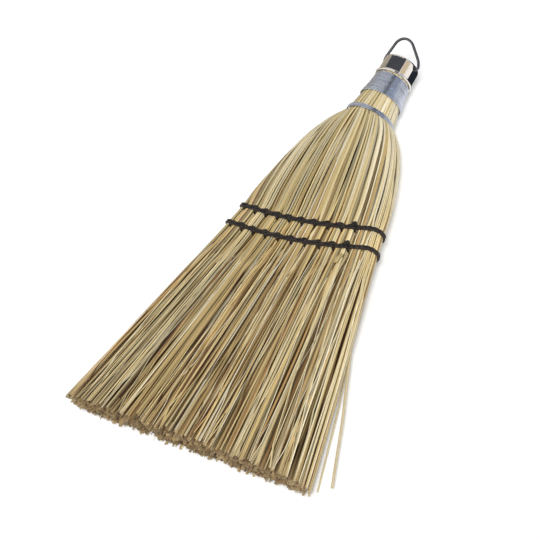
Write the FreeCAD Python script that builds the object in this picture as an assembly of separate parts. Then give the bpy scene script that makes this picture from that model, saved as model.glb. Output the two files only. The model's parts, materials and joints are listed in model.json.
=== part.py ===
import FreeCAD, Part
import math
import os
from collections import namedtuple

V = FreeCAD.Vector

# Lengths along the broom in mm, in order from the cut end to the cap
lower_row_height = 127.9
row_spacing = 12.5
shoulder_length = 74.7
bare_neck_length = 12.3
cap_height = 12.1

# Outside of the stalks: full widths and thicknesses, and radii at the neck
cut_width = 180.0
cut_thickness = 22.6
lower_row_width = 108.8
upper_row_width = 102.2
row_thickness = 12.4
shoulder_fullness = 1.22
shoulder_roundness = 0.61
shoulder_swell = 1.24
shoulder_stations = (0.82, 0.58, 0.3)
band_seat_radius = 14.2
winding_low_radius = 12.2
winding_waist = 1.6
row_skew = 0.015
row_bow = 0.0016
cut_skew = -0.04
flat_end_share = 0.9
round_end_share = 0.98

# Stalks: how many lie round a quarter of the rim, and how thick they are
edge_stalks_per_quarter = 2
bunches_per_half = 5
stalks_per_bunch = 2
brushes_per_stalk = 3
neck_stalk_depth = 2.2
row_stalk_depth = 2.6
cut_stalk_depth = 3.4
stalk_flank_share = 0.45
stalk_crown_start = 0.25
stalk_crown_end = 0.75
brush_split_drop = 17.2
brush_gap = 0.6
cut_raggedness = 3.0
uneven_step = 0.7548776662
uneven_side_step = 17
core_recess = 2.5
stalk_gap = 0.3
core_gap = 0.3

# Galvanised wire and the brads that hold its ends
wire_diameter = 0.8
wire_gap = 0.45
wire_seat = 0.1
wire_sides = 6
winding_turns = 12
band_turns = 2
band_margin = 0.4
brad_shank = 0.9
brad_length = 3.6
brad_head = 2.0
brad_head_height = 0.45
brad_clearance = 0.1

# Twine: the wraps round each row and the stitches through it
wrap_diameter = 1.2
wrap_turns = 2
wrap_gap = 0.45
twine_seat = 0.15
stitch_diameter = 1.1
stitch_gap = 0.45
stitch_bend = 1.25
knot_diameter = 2.4
pinch_margin = 2.0
stitch_tail_share = 0.5
knot_place_share = 0.2
unsewn_borders = 1
twine_sides = 6

# Cap and hanging bail
cap_radius = 10.5
cap_wall = 0.5
cap_top_fillet = 1.6
cap_bead_radius = 0.8
cap_seat = 0.15
cap_winding_gap = 0.3
bail_wire = 1.6
bail_run_clearance = 0.08
bail_side_gap = 1.0
bail_foot_length = 1.6
bail_pivot_depth = 2.4
bail_shoulder = 4.3
bail_length = 16.7
bail_foot_bend = 1.7
bail_shoulder_bend = 7.5
bail_tip_bend = 7.8
bail_raised = 32.0

# Heights worked out from the lengths above
upper_row_height = lower_row_height + row_spacing
wire_pitch = wire_diameter + wire_gap
band_height = upper_row_height + shoulder_length
band_reach = band_turns * wire_pitch / 2 + wire_diameter / 2 + band_margin
band_low = band_height - band_reach
band_high = band_height + band_reach
winding_low = band_height + bare_neck_length
winding_high = winding_low + winding_turns * wire_pitch
cap_low = winding_high + wire_diameter / 2 + cap_winding_gap
cap_top = cap_low + cap_height
bail_pivot = cap_top - bail_pivot_depth
stalk_top = bail_pivot - bail_wire / 2 - stalk_gap
cap_bore = cap_radius - cap_wall
neck_top_radius = cap_bore - cap_seat
wrap_pitch = wrap_diameter + wrap_gap
wrap_reach = wrap_turns * wrap_pitch / 2 + wrap_diameter / 2 - wrap_gap / 2
stitch_reach = wrap_reach + stitch_gap / 2 + stitch_diameter / 2
pinch_reach = stitch_reach + stitch_diameter / 2 + pinch_margin
pinch_low = lower_row_height - pinch_reach
pinch_high = upper_row_height + row_bow * (upper_row_width / 2) ** 2 + pinch_reach
brush_top = pinch_low - brush_split_drop
bunch_gap = stitch_diameter + 2 * stitch_gap
stalks_per_quarter = edge_stalks_per_quarter + bunches_per_half * stalks_per_bunch

# A section of the stalks: half width, half thickness, radius of the rounded ends,
# slant across the width, depth of the cover stalks and gap between the bunches
Section = namedtuple("Section", "height a b r skew depth split")


def mix(low, high, share):
    return low + (high - low) * share


def neck_radius(height):
    """Radius of the bound neck, straight between the heights where stalks are sectioned."""
    def waist(share):
        return mix(neck_top_radius, winding_low_radius, (1 - share) ** winding_waist)

    middle = mix(winding_low, winding_high, 0.5)
    knots = [(band_high, band_seat_radius), (winding_low, winding_low_radius),
             (middle, waist(0.5)), (winding_high, neck_top_radius)]
    if height <= band_high:
        return band_seat_radius
    for (y0, r0), (y1, r1) in zip(knots, knots[1:]):
        if height <= y1:
            return mix(r0, r1, (height - y0) / (y1 - y0))
    return neck_top_radius


def section_at(height):
    """The outer shape of all the stalks together, at one height above the cut end."""
    flat_b = row_thickness / 2
    if height >= band_low:
        radius = neck_radius(height)
        return Section(height, radius, radius, radius * round_end_share, 0.0, neck_stalk_depth, stalk_gap)
    upper_a = upper_row_width / 2
    lower_a = lower_row_width / 2
    if height > pinch_high:
        rise = (height - upper_row_height) / (band_low - upper_row_height)
        spread = (1 - rise ** shoulder_fullness) ** shoulder_roundness
        a = mix(band_seat_radius, upper_a, spread)
        b = mix(flat_b, band_seat_radius, math.sin(rise * math.pi / 2) ** shoulder_swell)
        r = b * mix(flat_end_share, round_end_share, rise)
        depth = mix(row_stalk_depth, neck_stalk_depth, rise)
        return Section(height, a, b, r, row_skew * (1 - rise) ** 2, depth, stalk_gap)
    if height >= pinch_low:
        a = mix(lower_a, upper_a, (height - lower_row_height) / row_spacing)
        return Section(height, a, flat_b, flat_b * flat_end_share, row_skew, row_stalk_depth, bunch_gap)
    drop = 1 - height / pinch_low
    pinch_a = mix(lower_a, upper_a, (pinch_low - lower_row_height) / row_spacing)
    b = mix(flat_b, cut_thickness / 2, drop)
    return Section(height, mix(pinch_a, cut_width / 2, drop), b, b * flat_end_share,
                   mix(row_skew, cut_skew, drop), mix(row_stalk_depth, cut_stalk_depth, drop), stalk_gap)


def oval_arcs(a, b, r):
    """Radius and half angle of the face arc, then the lengths of the end and face arcs of a quarter."""
    face_radius = ((a - r) ** 2 + b * b - r * r) / (2 * (b - r))
    half_angle = math.asin(min(1.0, (a - r) / (face_radius - r)))
    return face_radius, half_angle, r * (math.pi / 2 - half_angle), face_radius * half_angle


def oval_place(a, b, r, share):
    """Point and outward direction on a quarter oval, from the end (share 0) to the face centre (1)."""
    face_radius, half_angle, end_length, face_length = oval_arcs(a, b, r)
    along = share * (end_length + face_length)
    if along < end_length:
        turn = along / r
        return (a - r + r * math.cos(turn), r * math.sin(turn)), (math.cos(turn), math.sin(turn))
    turn = half_angle - (along - end_length) / face_radius
    normal = (math.sin(turn), math.cos(turn))
    return (face_radius * normal[0], face_radius * normal[1] - face_radius + b), normal


def rim_point(section, side_x, side_z, share, depth=0.0):
    """A point on the rim of a section, or inside it by a depth square to the rim."""
    (x, z), (nx, nz) = oval_place(section.a, section.b, section.r, share)
    x = side_x * (x - depth * nx)
    z = side_z * (z - depth * nz)
    return V(x, section.height + section.skew * x, z)


def is_bunch_edge(index):
    """True where a stalk border is also the border of a sewn bunch."""
    inner = index - edge_stalks_per_quarter
    return inner >= 0 and inner % stalks_per_bunch == 0


def border_share(section, index, side):
    """Share of the quarter at a stalk border, moved into the stalk by half the gap there."""
    gap = section.split if is_bunch_edge(index) else stalk_gap
    arcs = oval_arcs(section.a, section.b, section.r)
    return index / stalks_per_quarter + side * gap / 2 / (arcs[2] + arcs[3])


def stalk_ring(section, side_x, side_z, index):
    """Six corners of a stalk: a flat inside, two short sides and a crown."""
    left = border_share(section, index, 1)
    right = border_share(section, index + 1, -1)
    inside = section.depth
    flank = section.depth * stalk_flank_share
    crown = [(mix(left, right, share), 0.0) for share in (stalk_crown_end, stalk_crown_start)]
    places = [(left, inside), (right, inside), (right, flank)] + crown + [(left, flank)]
    return [rim_point(section, side_x, side_z, share, depth) for share, depth in places]


def core_ring(section, side_x, first):
    """Six corners of the inner stalks of a bunch, between the front and the back cover."""
    last = first + stalks_per_bunch
    inside = section.depth + core_gap
    shares = [border_share(section, first, 1), (first + last) / 2 / stalks_per_quarter,
              border_share(section, last, -1)]
    front = [rim_point(section, side_x, 1, share, inside) for share in shares]
    back = [rim_point(section, side_x, -1, share, inside) for share in reversed(shares)]
    return front + back


def polygon(points):
    return Part.makePolygon(points + points[:1])


def ruled_solid(rings):
    solid = Part.makeLoft([polygon(ring) for ring in rings], True, True)
    return solid if solid.Volume > 0 else solid.reversed()


def brush_ring(ring, number, gap):
    """One of the brushes that a stalk splits into: a slice of its six corners, end to end."""
    inside_left, inside_right, flank_right, crown_right, crown_left, flank_left = ring
    width = (inside_right - inside_left).Length
    first = number / brushes_per_stalk
    last = (number + 1) / brushes_per_stalk
    start = first + (gap / width if number > 0 else 0)
    end = last - (gap / width if number < brushes_per_stalk - 1 else 0)
    top = [(0.0, flank_left), (stalk_crown_start, crown_left),
           (stalk_crown_end, crown_right), (1.0, flank_right)]

    def on_top(share):
        for (s0, p0), (s1, p1) in zip(top, top[1:]):
            if share <= s1:
                return p0 + (p1 - p0) * ((share - s0) / (s1 - s0))
        return flank_right

    corners = [point for share, point in reversed(top) if first < share < last]
    inside = [inside_left + (inside_right - inside_left) * share for share in (start, end)]
    return inside + [on_top(end)] + corners + [on_top(start)]


def ragged(number):
    """An uneven cut, repeatable: a length between nothing and the full raggedness."""
    return cut_raggedness * (number * uneven_step % 1.0)


shoulder_heights = [mix(upper_row_height, band_low, share) for share in shoulder_stations]
neck_heights = [stalk_top, winding_high, mix(winding_low, winding_high, 0.5), winding_low,
                band_high, band_low]
stem_heights = neck_heights + shoulder_heights + [pinch_high, pinch_low, brush_top]


def make_stalk(side_x, side_z, index):
    """A cover stalk from the cap down, split into brushes towards the cut end."""
    rings = [stalk_ring(section_at(height), side_x, side_z, index) for height in stem_heights]
    solid = ruled_solid(rings)
    brushes = []
    for number in range(brushes_per_stalk):
        lift = ragged(number + brushes_per_stalk * (index + uneven_side_step * (side_x + 2 * side_z)))
        tip = brush_ring(stalk_ring(section_at(lift), side_x, side_z, index), number, brush_gap / 2)
        brushes.append(ruled_solid([brush_ring(rings[-1], number, 0.0), tip]))
    return solid.fuse(brushes).removeSplitter().Solids[0]


def make_core(side_x, first):
    heights = stem_heights[:-1] + [core_recess + cut_raggedness]
    return ruled_solid([core_ring(section_at(height), side_x, first) for height in heights])


def biarc(p0, t0, p1, t1):
    """Two arcs that leave p0 along t0, meet smoothly and arrive at p1 along t1."""
    chord = p1 - p0
    both = t0 + t1
    square = 2 * (1 - t0.dot(t1))
    along = chord.dot(both)
    reach = (math.sqrt(along ** 2 + square * chord.dot(chord)) - along) / square
    corner0 = p0 + t0 * reach
    corner1 = p1 - t1 * reach
    joint = (corner0 + corner1) * 0.5
    return [arc_under(p0, corner0, joint), arc_under(joint, corner1, p1)]


def arc_under(start, corner, end):
    """The arc from start to end whose tangents cross at the corner."""
    middle = (start + end) * 0.5
    half_chord = (end - start).Length / 2
    rise = (corner - middle).Length
    sagitta = half_chord * math.tan(math.atan2(rise, half_chord) / 2)
    top = middle + (corner - middle).normalize() * sagitta
    return Part.Arc(start, top, end).toShape()


def smooth_route(places):
    """Pairs of arcs through a row of places, each with the direction of travel there."""
    edges = []
    for (p0, t0), (p1, t1) in zip(places, places[1:]):
        edges += biarc(p0, t0, p1, t1)
    return edges


def rounded_route(corners, bends):
    """Edges along straight runs, each inner corner rounded by its own bend radius."""
    edges = []
    start = corners[0]
    for before, corner, after, bend in zip(corners, corners[1:], corners[2:], bends):
        towards = (before - corner).normalize()
        away = (after - corner).normalize()
        half = towards.getAngle(away) / 2
        arc_start = corner + towards * (bend / math.tan(half))
        arc_end = corner + away * (bend / math.tan(half))
        edges.append(Part.LineSegment(start, arc_start).toShape())
        edges.append(arc_under(arc_start, corner, arc_end))
        start = arc_end
    edges.append(Part.LineSegment(start, corners[-1]).toShape())
    return edges


def tube(name, edges, diameter, sides):
    """A tube of a given diameter along the edges, with its length and least gap printed."""
    path = Part.Wire(edges)
    start = edges[0].valueAt(edges[0].FirstParameter)
    heading = edges[0].tangentAt(edges[0].FirstParameter)
    ring = Part.makeCircle(diameter / 2, start, heading)
    if sides:
        ring = polygon(ring.discretize(sides + 1)[:-1])
    solid = path.makePipeShell([Part.Wire(ring)], True, False)
    area = Part.Face(Part.Wire(ring)).Area
    print(f"{name}: length {path.Length:.0f} mm, volume over section times length "
          f"{solid.Volume / area / path.Length:.3f}, least gap to itself {least_gap(path, diameter):.2f} mm")
    return solid


def least_gap(path, diameter):
    """The least free gap of a tube to itself, on points, past the bend beside each point."""
    spacing = 0.75
    bend_allowance = 1.2
    count = int(path.Length / (diameter * spacing))
    points = [tuple(p) for p in path.discretize(count)]
    step = path.Length / (count - 1)
    skip = int(math.pi * diameter * bend_allowance / step) + 1
    least = path.Length
    for i, (x, y, z) in enumerate(points):
        for u, v, w in points[i + skip:]:
            if abs(v - y) < least and abs(u - x) < least:
                least = min(least, math.sqrt((u - x) ** 2 + (v - y) ** 2 + (w - z) ** 2))
    return least - diameter


def wind_wire(name, low, turns):
    """Wire wound on the neck from the back, in half turns, with a straight run at each end."""
    def place(half_turn):
        angle = math.pi * half_turn - math.pi / 2
        height = low + wire_pitch * half_turn / 2
        radius = neck_radius(height) + wire_seat + wire_diameter / 2
        return V(radius * math.cos(angle), height, radius * math.sin(angle))

    nudge = 0.001
    places = []
    for half_turn in range(2 * turns + 1):
        heading = place(half_turn + nudge) - place(half_turn - nudge)
        places.append((place(half_turn), heading.normalize()))
    first, lead_in = places[0]
    last, lead_out = places[-1]
    start = first - lead_in * wire_diameter
    edges = [Part.LineSegment(start, first).toShape()] + smooth_route(places)
    edges.append(Part.LineSegment(last, last + lead_out * wire_diameter).toShape())
    return tube(name, edges, wire_diameter, wire_sides), start, lead_in


def make_brad(wire_end, lead_in):
    """A brad driven in beside a wire's square end, with its head over that end."""
    centre = wire_end - lead_in * (brad_shank / 2 + brad_clearance)
    inward = V(-centre.x, 0, -centre.z).normalize()
    under_head = centre - inward * (wire_diameter / 2 + brad_clearance)
    shank = Part.makeCylinder(brad_shank / 2, brad_length, under_head, inward)
    head = Part.makeCylinder(brad_head / 2, brad_head_height, under_head, inward * -1)
    hole = Part.makeCylinder(brad_shank / 2 + brad_clearance, brad_length + brad_clearance,
                             under_head, inward)
    return shank.fuse(head).removeSplitter(), hole


def row_section(row_height, x, along, off):
    """The outline of the stalks where twine runs: a row bows up towards both edges."""
    section = section_at(row_height + row_bow * x * x + along)
    return section._replace(a=section.a + off, b=section.b + off, r=section.r + off)


def wrap_twine(name, row_height):
    """Twine wound round a row of the flattened stalks, starting and ending on the back."""
    off = twine_seat + wrap_diameter / 2
    section = row_section(row_height, 0.0, 0.0, off)
    arcs = oval_arcs(section.a, section.b, section.r)
    end_share = arcs[2] / (arcs[2] + arcs[3])
    quarters = [(1, -1, (1.0, end_share)), (1, 1, (0.0, end_share)),
                (-1, 1, (1.0, end_share)), (-1, -1, (0.0, end_share))]
    quarters_before = {(1, -1): 1, (1, 1): 1, (-1, 1): 3, (-1, -1): 3}
    places = []
    for turn in range(wrap_turns):
        for side_x, side_z, shares in quarters:
            for share in shares:
                done = turn + quarters_before[side_x, side_z] / 4
                places.append(wrap_place(row_height, off, side_x, side_z, share, done))
    places.append(wrap_place(row_height, off, 1, -1, 1.0, wrap_turns + 1 / 4))
    first, lead_in = places[0]
    last, lead_out = places[-1]
    edges = [Part.LineSegment(first - lead_in * wrap_diameter, first).toShape()] + smooth_route(places)
    edges.append(Part.LineSegment(last, last + lead_out * wrap_diameter).toShape())
    return tube(name, edges, wrap_diameter, twine_sides)


def wrap_place(row_height, off, side_x, side_z, share, done):
    """A point of the wrap and the way the twine runs there; done counts turns at the quarter's end."""
    way = side_x * side_z

    def point(share):
        along = wrap_pitch * (done + way * share / 4 - wrap_turns / 2)
        (x, _), _ = oval_place(*row_section(row_height, 0.0, along, off)[1:4], share)
        return rim_point(row_section(row_height, x, along, off), side_x, side_z, share)

    nudge = 0.0001
    behind = max(share - nudge, 0.0)
    ahead = min(share + nudge, 1.0)
    heading = (point(ahead) - point(behind)) * way
    return point(share), heading.normalize()


def bunch_borders():
    """The borders between bunches from left to right, as a side and a share of the quarter rim."""
    indexes = range(edge_stalks_per_quarter, stalks_per_quarter + 1, stalks_per_bunch)
    right = [(1, index / stalks_per_quarter) for index in reversed(indexes)]
    return [(-1, share) for _, share in reversed(right)] + right[1:]


def stitch_twine(name, row_height):
    """One thread sewn along a row: slanting over the wrap in front, straight over it behind."""
    top = twine_seat + wrap_diameter + stitch_gap / 2 + stitch_diameter / 2

    def at(border, side_y, side_z):
        side_x, share = border
        middle = rim_point(section_at(row_height), side_x, 1, share)
        section = row_section(row_height, middle.x, side_y * stitch_reach, 0.0)
        between = rim_point(section, side_x, 1, share, section.b / 2)
        face = rim_point(section, side_x, 1, share).z
        return V(between.x, between.y, side_z * (face + top))

    borders = bunch_borders()[:-unsewn_borders]
    corners = [at(borders[0], stitch_tail_share, -1), at(borders[0], -1, -1)]
    for border, following in zip(borders, borders[1:]):
        corners += [at(border, -1, 1), at(following, 1, 1), at(following, 1, -1), at(following, -1, -1)]
    corners += [at(borders[-1], -1, 1), at(borders[-1], knot_place_share, 1)]
    edges = rounded_route(corners, [stitch_bend] * (len(corners) - 2))
    thread = tube(name, edges, stitch_diameter, twine_sides)
    knot = Part.makeSphere(knot_diameter / 2, corners[-1] + V(0, 0, knot_diameter / 2 - stitch_diameter / 2))
    return thread.fuse(knot).removeSplitter()


def make_cap():
    """A drawn cup, open downwards, with a rolled bead and two holes for the bail."""
    up = V(0, 1, 0)
    cup = Part.makeCylinder(cap_radius, cap_height, V(0, cap_low, 0), up)
    rim = [edge for edge in cup.Edges if edge.Closed and edge.CenterOfMass.y > cap_top - cap_wall]
    cup = cup.makeFillet(cap_top_fillet, rim)
    bead = Part.makeTorus(cap_radius, cap_bead_radius, V(0, cap_low + cap_bead_radius, 0), up)
    bore = Part.makeCylinder(cap_bore, cap_height - cap_wall, V(0, cap_low, 0), up)
    rim = [edge for edge in bore.Edges if edge.Closed and edge.CenterOfMass.y > cap_top - 2 * cap_wall]
    bore = bore.makeFillet(cap_top_fillet - cap_wall, rim)
    hole = Part.makeCylinder(bail_wire / 2 + bail_run_clearance, 4 * cap_radius,
                             V(-2 * cap_radius, bail_pivot, 0), V(1, 0, 0))
    return cup.fuse(bead).cut(bore).cut(hole)


def make_bail():
    """A wire loop drawn flat, then raised about the line through its two feet."""
    reach = cap_radius + bail_side_gap + bail_wire / 2
    foot = cap_bore - bail_foot_length
    lean = math.radians(bail_raised)

    def tip_after_bend(corner):
        half = math.atan2(reach, corner - bail_shoulder)
        return corner - bail_tip_bend * (1 / math.sin(half) - 1)

    tip_tries = 40
    corner = bail_length
    for _ in range(tip_tries):
        corner += bail_length - tip_after_bend(corner)

    def raised(x, along):
        return V(x, bail_pivot + along * math.cos(lean), along * math.sin(lean))

    outline = [(-foot, 0), (-reach, 0), (-reach, bail_shoulder), (0, corner),
               (reach, bail_shoulder), (reach, 0), (foot, 0)]
    bends = [bail_foot_bend, bail_shoulder_bend, bail_tip_bend, bail_shoulder_bend, bail_foot_bend]
    return tube("hanging_bail", rounded_route([raised(x, d) for x, d in outline], bends), bail_wire, 0)


def make_pieces():
    """Every piece of the broom by its name, standing along Y with the cut end at height 0."""
    pieces = {"end_cap": [make_cap()], "hanging_bail": [make_bail()]}
    holes = []
    brads = []
    for name, low, turns in (("neck_winding", winding_low, winding_turns),
                             ("shoulder_band", band_height - band_turns * wire_pitch / 2, band_turns)):
        wire, end, lead_in = wind_wire(name, low, turns)
        brad, hole = make_brad(end, lead_in)
        pieces[name] = [wire]
        brads.append(brad)
        holes.append(hole)
    pieces["wire_brads"] = brads
    for name, height in (("upper", upper_row_height), ("lower", lower_row_height)):
        pieces[f"{name}_wrap_twine"] = [wrap_twine(f"{name}_wrap_twine", height)]
        pieces[f"{name}_stitch_twine"] = [stitch_twine(f"{name}_stitch_twine", height)]
    for side_x, edge in ((-1, "left"), (1, "right")):
        pieces[f"{edge}_edge_stalks"] = [make_stalk(side_x, side_z, index) for side_z in (1, -1)
                                         for index in range(edge_stalks_per_quarter)]
        for bunch in range(bunches_per_half):
            first = edge_stalks_per_quarter + bunch * stalks_per_bunch
            number = bunch + 1 if side_x < 0 else 2 * bunches_per_half - bunch
            indexes = range(first, first + stalks_per_bunch)
            pieces[f"front_stalks_{number}"] = [make_stalk(side_x, 1, index) for index in indexes]
            pieces[f"back_stalks_{number}"] = [make_stalk(side_x, -1, index) for index in indexes]
            pieces[f"core_bunch_{number}"] = [make_core(side_x, first)]
    return drill(pieces, holes)


def drill(pieces, holes):
    """The brads' holes, cut from the stalks they are driven into."""
    for name, solids in pieces.items():
        if "stalks" in name or "core" in name:
            for hole in holes:
                near = hole.BoundBox
                solids = [solid.cut(hole) if solid.BoundBox.intersect(near) else solid for solid in solids]
            pieces[name] = solids
    return pieces


def lie_down(pieces):
    """Lay the broom on its back, resting on the shoulder band and the lower edge of the cut end."""
    band_bottom = band_seat_radius + wire_seat + wire_diameter
    tilt = math.degrees(math.atan2(band_bottom - cut_thickness / 2, band_height))
    for solids in pieces.values():
        for solid in solids:
            solid.rotate(V(0, 0, 0), V(1, 0, 0), tilt)
    whole = Part.makeCompound([solid for solids in pieces.values() for solid in solids])
    box = whole.optimalBoundingBox(False, False)
    shift = V(-box.Center.x, -box.Center.y, -box.ZMin)
    for solids in pieces.values():
        for solid in solids:
            solid.translate(shift)
    pivot = FreeCAD.Rotation(V(1, 0, 0), tilt).multVec(V(0, bail_pivot, 0)) + shift
    print(f"tilt {tilt:.4f} degrees, shift {tuple(shift)}, bail pivot {tuple(pivot)}")
    print(f"size {box.XLength:.2f} x {box.YLength:.2f} x {box.ZLength:.2f} mm")


def main():
    os.makedirs("parts", exist_ok=True)
    pieces = make_pieces()
    lie_down(pieces)
    for name, solids in pieces.items():
        Part.makeCompound(solids).exportStep(f"parts/{name}.step")


main()
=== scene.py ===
# %% [markdown]
# A whisk broom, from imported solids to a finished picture.
#
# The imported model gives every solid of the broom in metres. The straw, twine and wire are
# soft or very fine on the real thing, so this lesson builds them again from single strands,
# in the same places. The cap, the hanging bail and the brads keep their solids and get finishes.

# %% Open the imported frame
import json
import math

import bpy
import numpy as np
from mathutils import Matrix, Vector


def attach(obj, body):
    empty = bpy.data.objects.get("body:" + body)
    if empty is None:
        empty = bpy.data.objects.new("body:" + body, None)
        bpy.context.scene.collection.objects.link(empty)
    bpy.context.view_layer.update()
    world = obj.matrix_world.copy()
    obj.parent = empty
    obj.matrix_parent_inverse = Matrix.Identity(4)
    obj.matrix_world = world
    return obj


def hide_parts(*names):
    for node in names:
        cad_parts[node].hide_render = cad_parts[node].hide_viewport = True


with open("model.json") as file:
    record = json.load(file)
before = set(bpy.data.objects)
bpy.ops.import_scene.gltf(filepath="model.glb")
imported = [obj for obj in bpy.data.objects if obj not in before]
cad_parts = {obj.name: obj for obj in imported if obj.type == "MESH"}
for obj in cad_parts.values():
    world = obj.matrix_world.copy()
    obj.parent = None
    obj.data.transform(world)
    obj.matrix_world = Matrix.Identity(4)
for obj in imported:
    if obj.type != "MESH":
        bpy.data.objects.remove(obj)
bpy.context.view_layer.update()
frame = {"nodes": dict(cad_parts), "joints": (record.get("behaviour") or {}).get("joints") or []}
chance = np.random.default_rng(20)

# %% [markdown]
# Where things are.
#
# A broom is easiest to think of standing on its cut end, in millimetres: x across, y up the
# handle, z towards the front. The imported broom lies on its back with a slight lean, because it
# rests on the wire band at its shoulder. One function lays standing points down.

# %% Lay the standing broom down
band_height, band_bottom, cut_half = 215.1, 15.1, 11.3
lean = math.atan2(band_bottom - cut_half, band_height)
pivot_height = 252.8
pivot = np.array(frame["joints"][0]["pos_m"])


def lean_back(points):
    x, y, z = np.moveaxis(np.asarray(points, float), -1, 0)
    return np.stack([x, y * math.cos(lean) - z * math.sin(lean),
                     y * math.sin(lean) + z * math.cos(lean)], -1) / 1000


def lie_down(points):
    return lean_back(points) + (pivot - lean_back([0, pivot_height, 0]))


print("middle of the cut end:", lie_down([0, 0, 0]).round(4))

# %% [markdown]
# The outline that the straw fills.
#
# At every height the bundle is an oval: a round neck, a broad flat middle where it is sewn, and
# a wide cut end. The oval is drawn with four arcs, and a strand keeps its share of the way
# round a quarter of it, from the edge (0) to the middle of a face (1), as a real stalk does.

# %% Half width and half thickness of the bundle at every height
lower_row, upper_row, row_bow = 127.9, 140.4, 0.0016
pinch_low, pinch_high = 122.6, 149.9
neck_heights = [213.05, 217.15, 227.4, 234.9, 242.4, 252.0]
neck_radii = [14.2, 14.2, 12.2, 10.63, 9.85, 9.85]
row_half, row_thick, row_taper, row_slant = 54.4, 6.2, 0.264, 0.015
shoulder_spread, cut_spread, cut_slant = 36.9, 34.2, 0.055
band_seat, band_reach, flare_below, flare_above = 13.9, 1.6, 2.6, 0.9
ladder = np.arange(-10, 253, 0.5)


def smooth(values, reach=16):
    """Corners eased over a few millimetres, with the slope kept at both ends."""
    kernel = np.exp(-2 * (np.arange(-reach, reach + 1) / reach) ** 2)
    padded = np.pad(values, reach, mode="reflect", reflect_type="odd")
    return np.convolve(padded, kernel / kernel.sum(), "valid")


rise = np.clip((ladder - upper_row) / (neck_heights[0] - upper_row), 0, 1)
drop = 1 - np.minimum(ladder, pinch_low) / pinch_low
neck = np.interp(ladder, neck_heights, neck_radii)
sewn_half = row_half - row_taper * (np.maximum(ladder, pinch_low) - lower_row)
shoulder_half = neck_radii[0] + shoulder_spread * (1 - rise ** 1.22) ** 0.61
shoulder_thick = row_thick + (neck_radii[0] - row_thick) * np.sin(rise * math.pi / 2) ** 1.24
half_widths = np.where(ladder > pinch_high, shoulder_half, sewn_half + cut_spread * drop)
thicknesses = np.where(ladder > pinch_high, shoulder_thick, row_thick + (cut_half - row_thick) * drop)

# The wire band draws the straw in, and it spreads again on both sides of the band.
flare = np.where(ladder < band_height, flare_below, flare_above)
under_band = band_seat + flare * np.maximum(np.abs(ladder - band_height) - band_reach, 0)
half_widths = smooth(np.where(ladder >= neck_heights[0], neck, half_widths))
half_widths = np.minimum(half_widths, under_band)
thicknesses = smooth(np.where(ladder >= neck_heights[0], neck, thicknesses))
thicknesses = np.minimum(thicknesses, under_band)
slants = smooth(np.where(ladder > pinch_high, row_slant * (1 - rise) ** 2, row_slant - cut_slant * drop))
roundness = 0.9 + 0.08 * rise
print("widest:", half_widths.max().round(1), "thickest:", thicknesses.max().round(1))


# %% Points on the oval
def oval_at(height):
    """Half width, half thickness, end radius and slant of the bundle."""
    half, thick, share, slant = (np.interp(height, ladder, values)
                                 for values in (half_widths, thicknesses, roundness, slants))
    half = np.maximum(half, thick)
    return half, thick, thick * share, slant


def rim(height, share, side_x, side_z, depth):
    """Points inside the oval by a depth, and the outward direction there."""
    half, thick, end, slant = oval_at(height)
    face = ((half - end) ** 2 + thick ** 2 - end ** 2) / (2 * (thick - end))
    turn_most = np.arcsin(np.clip((half - end) / (face - end), 0, 1))
    end_run = end * (math.pi / 2 - turn_most)
    along = share * (end_run + face * turn_most)
    at_end = along < end_run
    round_end = along / end
    over_face = turn_most - (along - end_run) / face
    nx = np.where(at_end, np.cos(round_end), np.sin(over_face))
    nz = np.where(at_end, np.sin(round_end), np.cos(over_face))
    x = side_x * (np.where(at_end, half - end + end * nx, face * nx) - depth * nx)
    z = side_z * (np.where(at_end, end * nz, face * nz - face + thick) - depth * nz)
    return np.stack([x, height + slant * x, z], -1), np.stack([side_x * nx, 0 * nx, side_z * nz], -1)


def row_height(row, share):
    """Height of a sewn row on a strand: rows bow up towards both edges."""
    x = rim(np.full(np.shape(share), row), share, 1, 1, 0.0)[0][..., 0]
    return row + row_bow * x * x


print("widths at cut, lower row and band:",
      [round(float(2 * oval_at(h)[0]), 1) for h in (0, lower_row, band_height)])

# %% [markdown]
# Pieces from rings.
#
# Straw, wire and twine are all tubes: rings of points joined by quads, with a face on each end.
# Filling a mesh from arrays is quick even for hundreds of thousands of points. Each point also
# carries `tint`, what its strand's colour is made from, and `grain`, its place along and round.

# %% Rings round a path
def rings_round(path, outward, radius, sides, flatness=1.0):
    """Rings of points round n paths of m points each."""
    ahead = np.gradient(path, axis=1)
    ahead /= np.linalg.norm(ahead, axis=-1, keepdims=True)
    across = np.cross(ahead, outward)
    across /= np.linalg.norm(across, axis=-1, keepdims=True)
    out = np.cross(across, ahead)
    turn = np.arange(sides) * 2 * math.pi / sides
    flat = np.asarray(flatness)[..., None, None]
    ring = np.cos(turn)[:, None] * out[:, :, None] * flat + np.sin(turn)[:, None] * across[:, :, None]
    return path[:, :, None] + np.asarray(radius)[..., None, None] * ring


def grain_of(path, sides):
    """Place round and along each tube; a random start keeps the streaks of strands apart."""
    run = np.linalg.norm(np.diff(path, axis=1, prepend=path[:, :1]), axis=-1).cumsum(1)
    turn = np.arange(sides) * 2 * math.pi / sides
    n, m = run.shape
    round_it = np.broadcast_to(np.stack([np.cos(turn), np.sin(turn)], -1), (n, m, sides, 2))
    start = chance.uniform(0, 900, (n, 1))
    return np.concatenate([round_it, np.broadcast_to((run + start)[..., None, None], (n, m, sides, 1))], -1)


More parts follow.
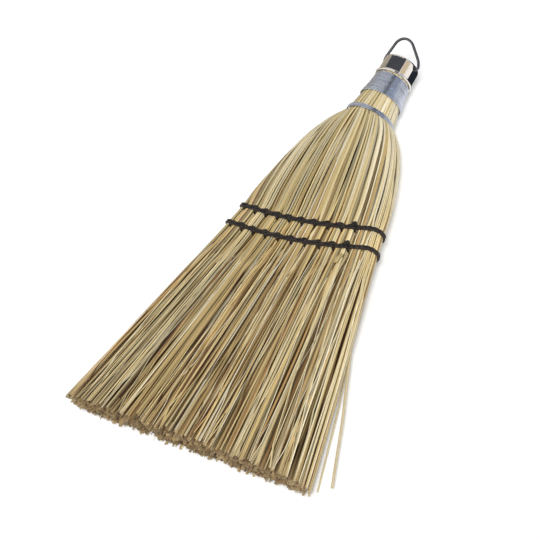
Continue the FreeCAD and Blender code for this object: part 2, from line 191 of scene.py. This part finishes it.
# %% A piece from many tubes
def tube_piece(name, tubes, material, nodes):
    """One object on the broom from a list of (rings, tint, grain), in place of the named nodes."""
    points, faces, tints, grains = [], [], [], []
    start = 0
    for rings, tint, grain in tubes:
        n, m, k, _ = rings.shape
        index = start + np.arange(n * m * k).reshape(n, m, k)
        ahead = np.roll(index, -1, axis=2)
        faces.append(np.stack([index[:, :-1], ahead[:, :-1], ahead[:, 1:], index[:, 1:]], -1).reshape(-1, 4))
        faces += [index[:, 0, ::-1], index[:, -1]]
        points.append(rings.reshape(-1, 3))
        tints.append(np.broadcast_to(tint, (n, m, k, 3)).reshape(-1, 3))
        grains.append(np.broadcast_to(grain, (n, m, k, 3)).reshape(-1, 3))
        start += n * m * k
    mesh = bpy.data.meshes.new(name)
    sizes = np.concatenate([np.full(len(part), part.shape[1]) for part in faces])
    mesh.vertices.add(start)
    mesh.loops.add(int(sizes.sum()))
    mesh.polygons.add(len(sizes))
    mesh.vertices.foreach_set("co", lie_down(np.concatenate(points)).ravel())
    mesh.loops.foreach_set("vertex_index", np.concatenate([part.ravel() for part in faces]))
    mesh.polygons.foreach_set("loop_start", np.concatenate([[0], sizes.cumsum()[:-1]]))
    round_faces = np.repeat([True, False, False] * len(tubes), [len(part) for part in faces])
    mesh.polygons.foreach_set("use_smooth", round_faces)
    rgba = np.concatenate([np.concatenate(tints), np.ones((start, 1))], 1)
    mesh.attributes.new("tint", "FLOAT_COLOR", "POINT").data.foreach_set("color", rgba.ravel())
    lay = mesh.attributes.new("grain", "FLOAT_VECTOR", "POINT")
    lay.data.foreach_set("vector", np.concatenate(grains).ravel())
    mesh.update(calc_edges=True)
    mesh.materials.append(material)
    piece = bpy.data.objects.new(name, mesh)
    bpy.context.collection.objects.link(piece)
    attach(piece, "broom")
    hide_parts(*nodes)


# %% [markdown]
# Finishes.
#
# Each finish is a small node tree on a Principled shader. Straw takes its colour from the tint
# of its strand: a ramp from cream through honey to brown, streaked by noise that is stretched
# along the grain, and turned to a dull tan at the cut ends. Nothing is painted by camera position.

# %% A finish and its nodes
def finish(name, **constants):
    """A material, with numbers and colours that are the same all over set on the shader itself."""
    material = bpy.data.materials.new(name)
    material.use_nodes = True
    shader = material.node_tree.nodes["Principled BSDF"]
    for socket, value in constants.items():
        shader.inputs[socket.replace("_", " ")].default_value = value
    return material, shader


def node(material, kind, values=(), **links):
    """Add a node; links name its inputs and the sockets that feed them."""
    made = material.node_tree.nodes.new(kind)
    for key, value in dict(values).items():
        if isinstance(key, int) or key in made.inputs:
            made.inputs[key].default_value = value
        else:
            setattr(made, key, value)
    for key, source in links.items():
        target = made.inputs[int(key[3:])] if key.startswith("in_") else made.inputs[key.replace("_", " ")]
        material.node_tree.links.new(source, target)
    return made


def feed(material, shader, **sources):
    """Link sources to the shader's own inputs."""
    for socket, source in sources.items():
        material.node_tree.links.new(source, shader.inputs[socket.replace("_", " ")])


def linear(colour):
    share = np.asarray(colour, float) / 255
    return np.where(share <= 0.04045, share / 12.92, ((share + 0.055) / 1.055) ** 2.4).tolist()


def ramp(material, source, stops):
    """Colours along a value from 0 to 1, written in the sRGB numbers that a colour picker shows."""
    made = node(material, "ShaderNodeValToRGB", in_0=source)
    for place, colour in stops[2:]:
        made.color_ramp.elements.new(place)
    for element, (place, colour) in zip(made.color_ramp.elements, sorted(stops)):
        element.position = place
        element.color = [*linear(colour), 1]
    return made.outputs["Color"]


def grain_noise(material, along, round_it, detail=3.0):
    """Noise stretched along a strand, with its own scale round it."""
    grain = node(material, "ShaderNodeAttribute", {"attribute_name": "grain"}).outputs["Vector"]
    scale = {"operation": "MULTIPLY", 1: (round_it, round_it, along)}
    scaled = node(material, "ShaderNodeVectorMath", scale, in_0=grain).outputs[0]
    noise = node(material, "ShaderNodeTexNoise", {"Scale": 1.0, "Detail": detail}, Vector=scaled)
    return noise.outputs["Fac"]


# %% Straw
def straw_finish(name, stops, cut_colour):
    material, shader = finish(name, Specular_IOR_Level=0.3)
    tint = node(material, "ShaderNodeAttribute", {"attribute_name": "tint"}).outputs["Color"]
    hue, shade, cut_end = node(material, "ShaderNodeSeparateColor", in_0=tint).outputs
    streak = grain_noise(material, 0.06, 1.6)
    fine = grain_noise(material, 0.5, 5.0)
    shift = node(material, "ShaderNodeMath", {"operation": "MULTIPLY_ADD", 1: 0.3, 2: -0.15}, in_0=streak)
    place = node(material, "ShaderNodeMath", {"use_clamp": True}, in_0=shift.outputs[0], in_1=hue)
    colour = ramp(material, place.outputs[0], stops)
    speck = node(material, "ShaderNodeMath", {"operation": "MULTIPLY_ADD", 1: 0.6, 2: 0.7}, in_0=fine)
    level = node(material, "ShaderNodeMath", {"operation": "MULTIPLY"}, in_0=speck.outputs[0], in_1=shade)
    shaded = node(material, "ShaderNodeVectorMath", {"operation": "SCALE"},
                  in_0=colour, Scale=level.outputs[0])
    mixed = node(material, "ShaderNodeMix", {"data_type": "RGBA", 7: (*linear(cut_colour), 1)},
                 in_0=cut_end, in_6=shaded.outputs[0])
    gloss = node(material, "ShaderNodeMapRange", {"To Min": 0.42, "To Max": 0.66}, Value=fine)
    bump = node(material, "ShaderNodeBump", {"Strength": 0.35, "Distance": 0.0002}, Height=fine)
    feed(material, shader, Base_Color=mixed.outputs[2], Roughness=gloss.outputs[0], Normal=bump.outputs[0])
    return material


cream_to_brown = [(0.0, (224, 214, 186)), (0.2, (208, 191, 146)), (0.38, (200, 177, 124)),
                  (0.56, (184, 150, 98)), (0.72, (146, 110, 74)), (0.87, (108, 78, 54)), (1.0, (66, 48, 34))]
tan_to_brown = [(0.0, (196, 174, 126)), (0.4, (170, 140, 92)), (0.7, (128, 96, 62)), (1.0, (66, 48, 34))]
cover_straw = straw_finish("cover_straw", cream_to_brown, (172, 148, 108))
core_straw = straw_finish("core_straw", tan_to_brown, (156, 132, 94))
print("straw finishes:", cover_straw.name, core_straw.name)


# %% [markdown]
# The twine is dark, with a dull waxed surface and a few paler flecks. The wire is galvanised, a grey
# metal with a soft shine. A picture of yarn or wire could be wrapped on, but it would have to be made
# and fitted first. Noise that follows the grain needs neither, and one function serves both.

# %% Twine and wire
def strand_finish(name, stops, gloss, along, round_it, bump_depth, **constants):
    """A finish for a tube: colour and gloss that vary along the grain, and a fine bump."""
    material, shader = finish(name, **constants)
    noise = grain_noise(material, along, round_it)
    rough = node(material, "ShaderNodeMapRange", {"To Min": gloss[0], "To Max": gloss[1]}, Value=noise)
    bump = node(material, "ShaderNodeBump", {"Strength": 0.5, "Distance": bump_depth}, Height=noise)
    feed(material, shader, Base_Color=ramp(material, noise, stops), Roughness=rough.outputs[0],
         Normal=bump.outputs[0])
    return material


twine = strand_finish("waxed_twine", [(0.4, (20, 18, 18)), (0.72, (84, 76, 70))], gloss=(0.5, 0.8),
                      along=0.8, round_it=2.5, bump_depth=0.0003, Specular_IOR_Level=0.3)
wire = strand_finish("galvanised_wire", [(0.3, (158, 164, 178)), (0.7, (216, 221, 231))], gloss=(0.18, 0.34),
                     along=0.05, round_it=1.0, bump_depth=0.00003, Metallic=1.0)
print("strand finishes:", twine.name, wire.name)


# %% [markdown]
# The cap is brightly plated, and the bail and brads are plain steel. Their solids are right already,
# so only the finish changes. Real metal is never quite even: soft noise changes its gloss in patches,
# and long thin noise makes hairlines. Both lie in object space, so they stay on the metal as it moves.

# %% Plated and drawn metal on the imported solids
def plate_finish(name, stops, gloss):
    """Metal with soft patches in the gloss and a few hairline scratches, from object space."""
    material, shader = finish(name, Metallic=1.0)
    place = node(material, "ShaderNodeTexCoord").outputs["Object"]
    cloud = node(material, "ShaderNodeTexNoise", {"Scale": 90.0, "Detail": 4.0}, Vector=place).outputs["Fac"]
    lines = node(material, "ShaderNodeVectorMath", {"operation": "MULTIPLY", 1: (4000, 150, 4000)},
                 in_0=place)
    scratch = node(material, "ShaderNodeTexNoise", {"Scale": 1.0, "Detail": 2.0}, Vector=lines.outputs[0])
    rough = node(material, "ShaderNodeMapRange", {"To Min": gloss[0], "To Max": gloss[1]}, Value=cloud)
    bump = node(material, "ShaderNodeBump", {"Strength": 0.06, "Distance": 0.00002},
                Height=scratch.outputs["Fac"])
    feed(material, shader, Base_Color=ramp(material, cloud, stops), Roughness=rough.outputs[0],
         Normal=bump.outputs[0])
    return material


nickel = plate_finish("bright_nickel", [(0.3, (222, 216, 206)), (0.7, (236, 231, 222))], (0.04, 0.12))
bail_steel = plate_finish("bail_steel", [(0.3, (88, 89, 93)), (0.7, (118, 119, 123))], (0.05, 0.12))
brad_steel = plate_finish("brad_steel", [(0.3, (150, 150, 152)), (0.7, (190, 190, 192))], (0.3, 0.5))
for name, metal in (("end_cap", nickel), ("hanging_bail", bail_steel), ("wire_brads", brad_steel)):
    slots = frame["nodes"][name].data.materials
    for index in range(len(slots)):
        slots[index] = metal
print("metal finishes:", nickel.name, bail_steel.name, brad_steel.name)

# %% [markdown]
# Straw.
#
# The cover of a whisk broom is whole stems: thick at the neck, thinner where they are sewn, and
# mixed with finer straws towards the cut. Only some of the stems lie outside at the neck. The
# others come up between them as the bundle fans out. Stitches draw each bunch together, so dark
# gaps open between bunches just below a row. All of it can be told as shares and depths on the oval.

# %% How the stitches gather a bunch
bunches_per_half = 5
bunch_width = 1 / (bunches_per_half + 1)


def gather(height, share, home):
    """The share drawn in towards the middle of its bunch near a row, and how far its sides sink."""
    edge = home < bunch_width
    middle = np.where(edge, 0.0, bunch_width * (np.floor(home / bunch_width) + 0.5))
    half = np.where(edge, bunch_width, bunch_width / 2)
    tight = np.zeros(np.broadcast(height, share).shape)
    for row, reach_below in ((lower_row, 13.0), (upper_row, 6.0)):
        off = height - row_height(row, home)
        tight = np.maximum(tight, np.exp(-(off / np.where(off > 0, 5.0, reach_below)) ** 2))
    inside = np.clip((share - middle) / half, -1.2, 1.2)
    drawn = share - half * inside * tight * np.where(edge, 0.1, 0.2)
    return drawn, 1.4 * tight * inside ** 4


def clump(height, share, count, pull):
    """Straws stick together in small brushes towards the cut end."""
    width = bunch_width / count
    middle = width * (np.floor(share / width) + 0.5)
    return share + (middle - share) * pull * np.clip(1 - height / 70, 0, 1)


notches, notch_depth, notch_width = (-46.8, -29.9, -4.5, 21.4), 8.0, 2.2


def cut_height(x, spread):
    """An uneven cut, with a few notches where straws broke off."""
    uneven = np.clip(chance.normal(0.9, spread, len(x)), -0.5, 4.0)
    return uneven + sum(notch_depth * np.exp(-((x - place) / notch_width) ** 2) for place in notches)


sample = np.array([[0.32]])
print("a share of 0.32 is drawn in to", gather(np.array([[lower_row]]), sample, sample)[0].round(3))


# %% One layer of straw
def straw_layer(side_x, side_z, share, heights, depth, radius, hue, shade, sides=6, drift=0.01, spread=0.7):
    """Strands that begin at the given shares and run from the top height down to the cut."""
    count = len(share)
    home = share[:, None]
    at_cut = rim(np.zeros(count), share, side_x, side_z, 0.0)[0][:, 0]
    cut = cut_height(at_cut, spread)[:, None]
    h = np.asarray(heights, float)[None] * (1 - cut / heights[0]) + cut
    low = np.clip(1 - h / 130, 0, 1)
    wave = np.sin(h / chance.uniform(14, 34, (count, 1)) + chance.uniform(0, 6, (count, 1)))
    sway = chance.normal(0, drift, (count, 1)) * low + chance.normal(0, drift / 8, (count, 1)) * wave * low
    moved = np.clip(home + sway, 0.0, 1.0)
    drawn, sunk = gather(h, clump(h, moved, count=3, pull=0.45), home)
    thickness = radius(h) * chance.uniform(0.55, 1.38, (count, 1))
    flatness = chance.uniform(0.6, 1.0, (count, 1)) + 0 * h
    path, outward = rim(h, drawn, side_x, side_z, depth(h, count) + sunk + thickness * flatness)
    rings = rings_round(path, outward, thickness, sides, flatness)
    end_slope = chance.normal(0, 0.2, (count, 2))
    turn = np.arange(sides) * 2 * math.pi / sides
    lift = end_slope[:, :1] * np.cos(turn) + end_slope[:, 1:] * np.sin(turn)
    rings[:, -1, :, 1] += lift * thickness[:, -1:]
    # Paler above the rows, in patches across the bundle, and brighter just between the rows, which is
    # painted light for the fewer shadows where the rows press the straw flat.
    tint = np.zeros((*h.shape, sides, 3))
    paler_above = 0.16 * np.clip((h - 130) / 60, 0, 1)
    patch = 0.1 * np.sin(37 * share + 11 * side_x) + 0.08 * np.sin(83 * share + 5 * side_z)
    tint[..., 0] = np.clip((hue(count) + patch)[:, None] - paler_above, 0.02, 1)[..., None]
    brightness = chance.uniform(*shade, count) * (1 + 0.14 * np.sin(61 * share + 3 * side_x))
    # Painted light: straw between the rows is made brighter, as if it showed fewer shadows there.
    painted_light_between_rows = 1 + 0.24 * np.exp(-((h - 135) / 11) ** 2)
    tint[..., 1] = (brightness[:, None] * painted_light_between_rows)[..., None]
    tint[..., 2] = (0.6 * np.exp(-h / 1.2))[..., None]
    return rings, tint, grain_of(path, sides)


def side_by_side(first, count):
    """Shares across one bunch, one strand in each of count equal places."""
    return first + bunch_width * (np.arange(count) + chance.uniform(0.1, 0.9, count)) / count


def hues(usual, spread, brown):
    """Mostly one straw colour, with a share of brown strands."""
    def draw(count):
        plain = np.clip(chance.normal(usual, spread, count), 0, 0.66)
        return np.where(chance.random(count) < brown, chance.uniform(0.62, 1.0, count), plain)
    return draw


# %% [markdown]
# A layer has a depth and a thickness that change with height, and a range of colours. Five layers
# make a cover: stems that lie outside all the way, stems that come up in the shoulder, made darker as
# painted shade between the outer stems, straws on the outside of the skirt, hair-fine ones over them,
# and browner ones under them, painted very dark as the shade in the gaps. The core is stems and straws
# deeper down, packed evenly because their ends are what shows at the cut. The steps along a stem are
# closer at the band and the sewn rows, where it bends most.

# %% Thickness and depth of the layers
stem_heights = np.concatenate([np.linspace(251, 228, 5), [224, 220.5, 218, 216.6, 215.1, 213.6, 212, 209],
                               np.linspace(205, 160, 11),
                               np.linspace(156, 116, 13), np.linspace(106, 0, 10)])
straw_heights = np.concatenate([np.linspace(156, 116, 9), np.linspace(104, 0, 10)])
core_heights = np.concatenate([np.linspace(251, 214, 5), np.linspace(200, 120, 8), [60, 0]])


def stem_radius(h):
    return np.interp(h, [0, 60, 128, 150, 200, 251], [0.58, 0.56, 0.6, 0.66, 0.78, 0.78])


def straw_radius(h):
    return np.interp(h, [0, 60, 110, 156], [0.56, 0.54, 0.48, 0.35])


def core_radius(h):
    return np.interp(h, [0, 60, 120, 156], [0.95, 0.75, 0.45, 0.4])


def hair_radius(h):
    return 0.25 + 0 * h


def outside(h, count):
    return chance.uniform(0, 0.5, (count, 1)) + 0 * h


def coming_up(h, count):
    shows = chance.uniform(158, 212, (count, 1))
    return chance.uniform(0, 0.8, (count, 1)) + 2.1 / (1 + np.exp(-(h - shows) / 5))


def skirt_outside(h, count):
    lifted = chance.uniform(-0.6, 1.6, (count, 1)) * np.clip(1 - h / 120, 0, 1)
    return lifted + 0.4 + 2.2 / (1 + np.exp(-(h - 121) / 4))


def skirt_hair(h, count):
    lifted = chance.uniform(-0.9, 0.4, (count, 1)) * np.clip(1 - h / 120, 0, 1)
    return lifted + 3.0 / (1 + np.exp(-(h - 118) / 4))


def skirt_under(h, count):
    return chance.uniform(2.6, 4.8, (count, 1)) + 0 * h


def inner(h, count):
    place = (np.arange(count)[:, None] % 6 + chance.uniform(0.1, 0.9, (count, 1))) / 6
    return 2.6 + place * (oval_at(h)[1] - 3.2)


# %% The layers of a bunch
def cover_layers(side_x, side_z, first, pale_and_lit=0.0):
    def lay(count, *how, shade, **more):
        # On the right side the hue is paler, the straw's own colour, and the brightness is raised, which is
        # painted light on the side that faces the key.
        lighter = (shade[0] + pale_and_lit, shade[1] + pale_and_lit)
        return straw_layer(side_x, side_z, side_by_side(first, count), *how, shade=lighter, **more)

    return [lay(3, stem_heights, outside, stem_radius, hues(0.3 - pale_and_lit, 0.1, 0.05), sides=8, drift=0.01,
                shade=(0.7, 1.2)),
            # Stems coming up from below: the low end of their brightness is painted shade between the outer
            # stems.
            lay(5, stem_heights, coming_up, stem_radius, hues(0.34 - pale_and_lit, 0.15, 0.12), sides=8, drift=0.03,
                shade=(0.38, 1.06)),
            lay(4, straw_heights, skirt_outside, straw_radius, hues(0.4 - pale_and_lit, 0.18, 0.28), drift=0.06,
                shade=(0.16, 1.34)),
            lay(7, straw_heights, skirt_hair, hair_radius, hues(0.18 - pale_and_lit, 0.15, 0.15), drift=0.09,
                shade=(0.6, 1.4)),
            # Straws under the skirt: browner straw, painted very dark as the shade in the gaps.
            lay(8, straw_heights, skirt_under, straw_radius, hues(0.5, 0.2, 0.35), drift=0.04,
                shade=(0.06, 0.3))]


def core_layers(side_x, first):
    made = []
    for side_z in (1, -1):
        stems = side_by_side(first, 8)
        straws = side_by_side(first, 40)
        made.append(straw_layer(side_x, side_z, stems, core_heights, inner, stem_radius,
                                hues(0.4, 0.15, 0.2), shade=(0.5, 1.1)))
        made.append(straw_layer(side_x, side_z, straws, straw_heights, inner, core_radius,
                                hues(0.45, 0.2, 0.3), drift=0.015, spread=0.6, shade=(0.4, 1.1)))
    return made


def edge_layers(side_x, pale_and_lit):
    made = []
    for side_z in (1, -1):
        filling = side_by_side(0.0, 36)
        made += cover_layers(side_x, side_z, 0.0, pale_and_lit)
        made.append(straw_layer(side_x, side_z, filling, straw_heights, inner, core_radius,
                                hues(0.45, 0.2, 0.3), drift=0.015, spread=0.45, shade=(0.6, 0.95)))
    return made


def loose_straw(places, radius, hue):
    """One straw that has come away from the rest, through a few standing points."""
    along = np.linspace(0, 1, 24)
    stops = np.linspace(0, 1, len(places))
    path = np.stack([np.interp(along, stops, axis) for axis in np.transpose(places)], -1)[None]
    rings = rings_round(path, np.array([0.0, 0.0, 1.0]), np.full(path.shape[:2], radius), 6)
    return rings, np.array([hue, 1.0, 0.0]), grain_of(path, 6)


print("layers ready")

# %% [markdown]
# Each bunch is now one piece for each face and one for its core, with a piece for each edge. A few long
# straws have come away at the edges, and two bits of a broken one stick out under the lower row. The
# right edge is paler in colour than the rest and is also made brighter, which is painted light on the side
# that faces the key light. The bunches beside it have less of both with each step inwards.

# %% Straw pieces
strays = {1: [loose_straw([(50, 112, -4), (64, 80, -6), (82, 40, -7), (97, 4, -7)], 0.7, 0.14),
              loose_straw([(60, 90, -7), (74, 45, -10), (87, 1, -11)], 0.5, 0.14),
              loose_straw([(36, 126, 5), (36.6, 122, 7.4), (37.6, 119, 8)], 0.7, 0.4),
              loose_straw([(37.4, 126, 5), (38, 122.5, 7.6), (38, 119.5, 7.6)], 0.6, 0.3)],
          -1: [loose_straw([(-60, 95, -5), (-78, 45, -9), (-93, 6, -11)], 0.4, 0.3)]}
for side_x, edge in ((-1, "left"), (1, "right")):
    # The right edge is paler in colour and painted brighter, as painted light from the key on that side.
    pale_and_lit = 0.2 if side_x > 0 else 0.0
    tube_piece(f"{edge}_edge_straw", edge_layers(side_x, pale_and_lit) + strays[side_x], cover_straw,
               [f"{edge}_edge_stalks"])
    for bunch in range(bunches_per_half):
        number = bunch + 1 if side_x < 0 else 2 * bunches_per_half - bunch
        first = bunch_width * (bunch + 1)
        for side_z, face in ((1, "front"), (-1, "back")):
            tube_piece(f"{face}_straw_{number}", cover_layers(side_x, side_z, first, pale_and_lit / (3 + 3 * bunch)),
                       cover_straw, [f"{face}_stalks_{number}"])
        tube_piece(f"core_straw_{number}", core_layers(side_x, first), core_straw,
                   [f"core_bunch_{number}"])

# %% [markdown]
# Wire round the neck.
#
# The neck is bound with galvanised wire in turns that touch. A helix is the natural shape: the
# angle grows steadily while the height creeps up by one wire thickness a turn. Each wire starts
# and ends at the back, where it has a brad.

# %% Wind the wire
def wind(low, high, turns, thickness, steps=56, clear=0.1):
    """Turns of wire up the neck, with so many steps in each, just clear of the straw."""
    angle = np.arange(turns * steps + 1) * 2 * math.pi / steps - math.pi / 2
    height = np.linspace(low, high, len(angle))
    radius = np.interp(height, neck_heights, neck_radii) + clear + thickness / 2
    path = np.stack([radius * np.cos(angle), height, radius * np.sin(angle)], -1)[None]
    outward = np.stack([np.cos(angle), 0 * angle, np.sin(angle)], -1)[None]
    rings = rings_round(path, outward, np.full(path.shape[:2], thickness / 2), 8)
    return [(rings, np.ones(3), grain_of(path, 8))]


tube_piece("neck_wire", wind(227.4, 242.4, 22, 0.68), wire, ["neck_winding"])
tube_piece("band_wire", wind(213.85, 216.35, 4, 0.62), wire, ["shoulder_band"])
print("wire wound")

# %% [markdown]
# Twine.
#
# Two turns of dark twine are drawn tight round each row, and one thread is sewn over them, through
# the straw at the borders between bunches. Twine is three plies twisted together, so its section
# is three lobes that turn along the path.

# %% Twisted twine along a path
def twisted(path, radius, lay_length=3.4, sides=12):
    """Rings with three lobes, turned by the lay of the twine."""
    path = np.asarray(path, float)
    ahead = np.gradient(path, axis=0)
    ahead /= np.linalg.norm(ahead, axis=1, keepdims=True)
    out = np.array([0.0, 0.0, 1.0]) if abs(ahead[0, 2]) < 0.9 else np.array([0.0, 1.0, 0.0])
    carried = []
    for step in ahead:
        out = out - step * (out @ step)
        out /= np.linalg.norm(out)
        carried.append(out)
    carried = np.array(carried)
    run = np.linalg.norm(np.diff(path, axis=0, prepend=path[:1]), axis=1).cumsum()
    turn = np.arange(sides) * 2 * math.pi / sides
    across = np.cross(ahead, carried)
    lobes = radius * (0.78 + 0.22 * np.cos(3 * (turn[None] - 2 * math.pi / 3 * run[:, None] / lay_length)))
    ring = np.cos(turn)[:, None] * carried[:, None] + np.sin(turn)[:, None] * across[:, None]
    return path[None, :, None] + lobes[None, ..., None] * ring[None], np.ones(3), grain_of(path[None], sides)


def walk(corners, step=0.35):
    """Points at even steps along a line of corners."""
    corners = np.asarray(corners, float)
    run = np.linalg.norm(np.diff(corners, axis=0, prepend=corners[:1]), axis=1).cumsum()
    places = np.linspace(0, run[-1], int(run[-1] / step) + 1)
    return np.stack([np.interp(places, run, corners[:, axis]) for axis in range(3)], -1)


def rounded(corners, bend, times=3):
    """Corners cut back by a bend and rounded, for thread that turns through the straw."""
    corners = np.asarray(corners, float)
    points = [corners[0]]
    for before, corner, after in zip(corners, corners[1:], corners[2:]):
        for end in (before, after):
            way = end - corner
            points.append(corner + way * min(0.45, bend / np.linalg.norm(way)))
    points = np.array(points + [corners[-1]])
    for _ in range(times):
        near, far = points[:-1] * 0.75 + points[1:] * 0.25, points[:-1] * 0.25 + points[1:] * 0.75
        points = np.concatenate([points[:1], np.stack([near, far], 1).reshape(-1, 3), points[-1:]])
    return walk(points)


# %% Wraps
wrap_radius, thread_radius, tail_radius = 0.72, 0.55, 0.4


def wrap_path(row, off, turns, pitch):
    """Round and round a row, from the back, along the oval grown outwards."""
    quarter = np.linspace(0, 1, 60)
    points = []
    for turn in range(turns):
        for number, (side_x, side_z) in enumerate(((1, -1), (1, 1), (-1, 1), (-1, -1))):
            share = quarter[::-1] if number % 2 == 0 else quarter
            height = row_height(row, share) + pitch * (turn + (number + quarter) / 4 - turns / 2)
            points.append(rim(height, share, side_x, side_z, -off)[0][:-1])
    return np.concatenate(points)


for name, row in (("upper", upper_row), ("lower", lower_row)):
    wrap = twisted(walk(wrap_path(row, off=0.6, turns=2, pitch=1.25)), wrap_radius)
    tube_piece(f"{name}_wrap", [wrap], twine, [f"{name}_wrap_twine"])
print("wraps laid")


# %% Stitches
def stitch_corners(row):
    """Over the wrap in front at a slant, through, straight over it behind, and back, border by border."""
    reach, top = 1.9, 1.3
    shares = bunch_width * np.arange(1, bunches_per_half + 2)
    borders = [(-1, share) for share in shares] + [(1, share) for share in shares[-2:0:-1]]

    def at(border, side_y, side_z):
        side_x, share = border
        height = row_height(row, share) + side_y * reach
        return rim(height, share, side_x, 1, 0.0)[0] * [1, 1, side_z] + [0, 0, side_z * top]

    corners = [at(borders[0], 0.5, -1), at(borders[0], -1, -1)]
    for border, following in zip(borders, borders[1:]):
        corners += [at(border, -1, 1), at(following, 1, 1), at(following, 1, -1), at(following, -1, -1)]
    return corners + [at(borders[-1], -1, 1), at(borders[-1], 0.2, 1)]


def knot_path(centre, size):
    """A small overhand knot: a trefoil loop."""
    t = np.linspace(0, 2 * math.pi, 90)
    loop = np.stack([np.sin(t) + 2 * np.sin(2 * t), np.cos(t) - 2 * np.cos(2 * t), -1.2 * np.sin(3 * t)], -1)
    return centre + loop * size / 3


for name, row in (("upper", upper_row), ("lower", lower_row)):
    corners = stitch_corners(row)
    thread = twisted(rounded(corners, bend=1.1), thread_radius)
    knot = twisted(knot_path(corners[-1] + [0, 0.6, 0.8], size=1.3), thread_radius)
    first = corners[0]
    tail = twisted(walk([first, first + [-0.6, 2.0, 1.2], first + [0.2, 4.4, 1.6]]), tail_radius)
    tube_piece(f"{name}_stitches", [thread, knot, tail], twine, [f"{name}_stitch_twine"])
print("rows sewn")

# %% [markdown]
# Floor, light and camera.
#
# The broom lies on a white floor in soft studio light: a broad key light from the right, and an
# even sky. The floor and the world are brighter to the camera and to shiny metal than they are as
# light, so the picture has a white ground and the straw isn't washed out.

# %% Floor
bpy.ops.mesh.primitive_plane_add(size=8)
floor = bpy.context.object
floor.name = "floor"
white_floor, shader = finish("white_floor", Base_Color=(0.9, 0.9, 0.9, 1), Roughness=0.9,
                             Emission_Color=(1, 1, 1, 1))
rays = node(white_floor, "ShaderNodeLightPath").outputs
seen = node(white_floor, "ShaderNodeMath", {"operation": "MAXIMUM"},
            in_0=rays["Is Camera Ray"], in_1=rays["Is Glossy Ray"])
seen = node(white_floor, "ShaderNodeMath", {"operation": "MAXIMUM"},
            in_0=seen.outputs[0], in_1=rays["Is Transmission Ray"])
glow = node(white_floor, "ShaderNodeMath", {"operation": "MULTIPLY", 1: 0.25}, in_0=seen.outputs[0])
feed(white_floor, shader, Emission_Strength=glow.outputs[0])
floor.data.materials.append(white_floor)
print("floor laid")


# %% [markdown]
# A plated cap is all reflection, so a studio sets cards round it for dark and pale bands. They could
# be lamps, but lamps would light the straw too. Cards that only reflections see change little but metal.

# %% Reflection cards
def card(name, corners, colour):
    """A card that only shiny surfaces see, with the same tone all over."""
    mesh = bpy.data.meshes.new(name)
    mesh.from_pydata(corners, [], [(0, 1, 2, 3)])
    piece = bpy.data.objects.new(name, mesh)
    bpy.context.collection.objects.link(piece)
    material, _ = finish(name, Base_Color=(0, 0, 0, 1), Specular_IOR_Level=0.0,
                         Emission_Color=(*linear(colour), 1), Emission_Strength=1.0)
    mesh.materials.append(material)
    piece.visible_camera = piece.visible_diffuse = piece.visible_shadow = piece.visible_transmission = False


def level_card(name, x0, x1, y0, y1, z, colour):
    card(name, [(x0, y0, z), (x1, y0, z), (x1, y1, z), (x0, y1, z)], colour)


def upright_card(name, x, y0, y1, z0, z1, colour):
    card(name, [(x, y0, z0), (x, y1, z0), (x, y1, z1), (x, y0, z1)], colour)


level_card("dark_card_above", -0.6, 0.56, 0.25, 0.56, 0.5, (76, 80, 90))
level_card("dark_card_far", 0.22, 0.56, 0.57, 1.6, 0.5, (48, 58, 84))
level_card("dark_card_near", 0.22, 0.56, -0.6, 0.24, 0.5, (48, 58, 84))
upright_card("blue_card_far", 0.63, 0.62, 1.5, 0.02, 0.5, (196, 212, 236))
upright_card("blue_card_near", 0.63, -0.6, 0.34, 0.02, 0.5, (160, 178, 206))
upright_card("grey_card_left", -0.61, 0.0, 0.9, 0.001, 0.5, (176, 170, 158))
upright_card("warm_card_right", 0.62, 0.35, 0.61, 0.11, 0.5, (222, 206, 182))
level_card("grey_card_floor", -0.5, -0.02, 0.05, 0.8, 0.0004, (176, 170, 158))
# A painted shadow: this dark card under the cap stands for the cap's own shadow on the floor, as the cap
# reflects it.
level_card("painted_shadow_under_cap", -0.02, 0.04, 0.118, 0.2, 0.0006, (40, 46, 56))
print("cards placed")

# %% World and key light
world = bpy.data.worlds.new("studio")
bpy.context.scene.world = world
world.use_nodes = True
sky = world.node_tree.nodes["Background"]
sky.inputs["Color"].default_value = (1, 1, 1, 1)
path = world.node_tree.nodes.new("ShaderNodeLightPath")
highest = path.outputs["Is Camera Ray"]
for ray in ("Is Glossy Ray", "Is Transmission Ray"):
    either = world.node_tree.nodes.new("ShaderNodeMath")
    either.operation = "MAXIMUM"
    world.node_tree.links.new(highest, either.inputs[0])
    world.node_tree.links.new(path.outputs[ray], either.inputs[1])
    highest = either.outputs[0]
level = world.node_tree.nodes.new("ShaderNodeMapRange")
level.inputs["To Min"].default_value = 0.28
level.inputs["To Max"].default_value = 1.0
world.node_tree.links.new(highest, level.inputs["Value"])
world.node_tree.links.new(level.outputs[0], sky.inputs["Strength"])

key = bpy.data.lights.new("key", "SUN")
key.energy = 2.65
key.angle = math.radians(20)
key_object = bpy.data.objects.new("key", key)
key_object.rotation_euler = Vector((0.52, -0.25, 0.8)).to_track_quat("Z", "Y").to_euler()
key_object.visible_glossy = False
bpy.context.collection.objects.link(key_object)
print("light set")

# %% [markdown]
# The camera looks down on the broom from the right, from beyond the cut end, about a metre away and
# through a long lens. Its place, lens and roll were fitted to the photograph's outline, rows and cut.

# %% Camera
camera = bpy.data.cameras.new("camera")
camera.lens = 127.07
camera.sensor_width = 36
camera_object = bpy.data.objects.new("camera", camera)
look_from = Vector(lie_down([667.65, -238.02, 709.76]))
look_at = Vector(lie_down([-8.05, 109.97, 0.0]))
level_view = (look_from - look_at).to_track_quat("Z", "Y").to_matrix().to_4x4()
roll = Matrix.Rotation(math.radians(-38.987), 4, "Z")
camera_object.matrix_world = Matrix.Translation(look_from) @ level_view @ roll
bpy.context.collection.objects.link(camera_object)
bpy.context.scene.camera = camera_object
bpy.context.scene.view_settings.view_transform = "Standard"
print("camera at", [round(v, 4) for v in look_from])
